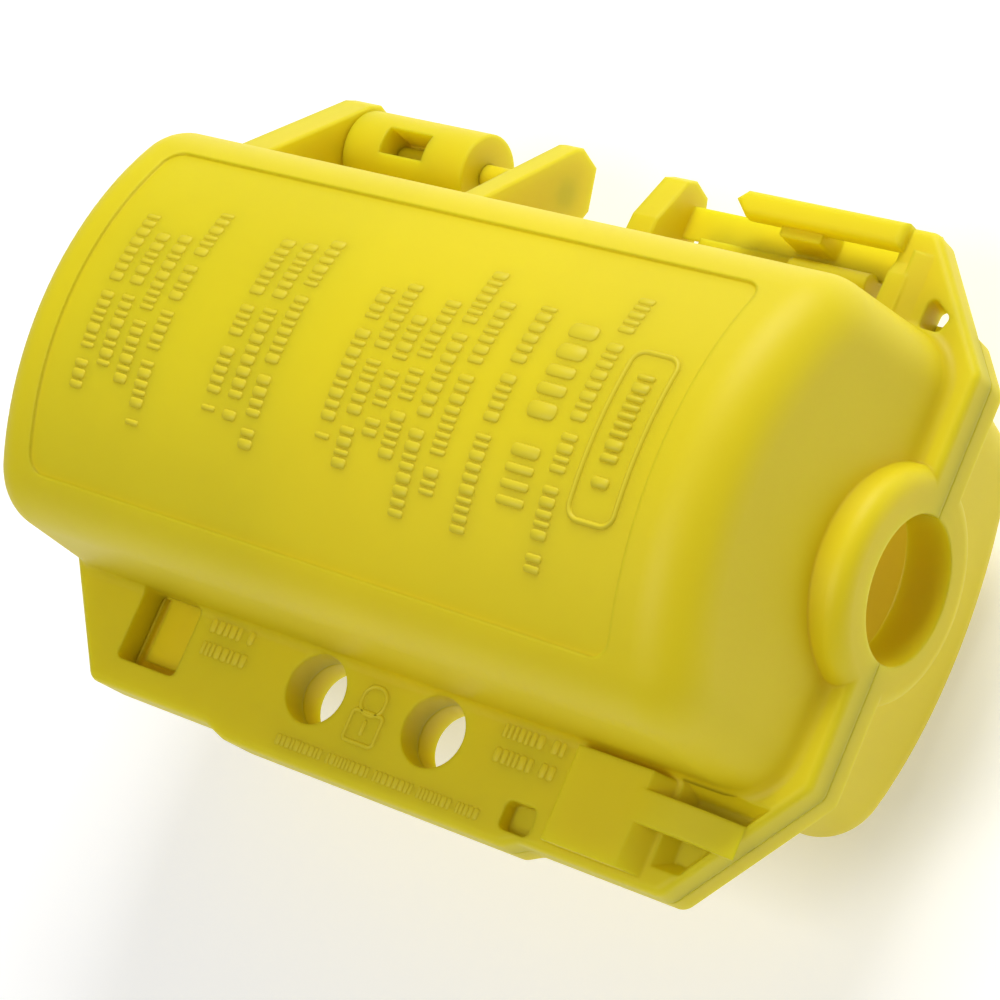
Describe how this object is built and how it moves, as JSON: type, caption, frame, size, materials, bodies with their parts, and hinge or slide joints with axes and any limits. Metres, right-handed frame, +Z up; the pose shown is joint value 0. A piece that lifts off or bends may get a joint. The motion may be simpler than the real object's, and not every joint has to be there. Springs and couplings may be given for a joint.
{
  "type": "plug lockout clamshell",
  "caption": "Yellow moulded plug lockout: two domed halves hinged at the back, a flange with padlock holes at the front and a cord hole in one end.",
  "frame": {"origin": "centre of the overall box, on the parting plane between the two halves", "axes": "+X along the body towards the cord hole, +Y towards the hinge, +Z up out of the cover"},
  "size_m": [0.104, 0.0768, 0.06],
  "materials": {
    "yellow_plastic": "matte",
    "pin_plastic": "matte"
  },
  "bodies": {
    "base": {"base_shell": "yellow_plastic"},
    "pin": {"hinge_pin": "pin_plastic"},
    "cover": {"cover_shell": "yellow_plastic"}
  },
  "joints": [
    {"name": "cover_slide", "type": "slide", "parent": "base", "child": "pin", "axis": [1, 0, 0], "range_m": [-0.003, 0]},
    {"name": "cover_hinge", "type": "hinge", "parent": "pin", "child": "cover", "pos_m": [-0.028, 0.0328, 0], "axis": [-1, 0, 0], "range_deg": [0, 110]}
  ]
}
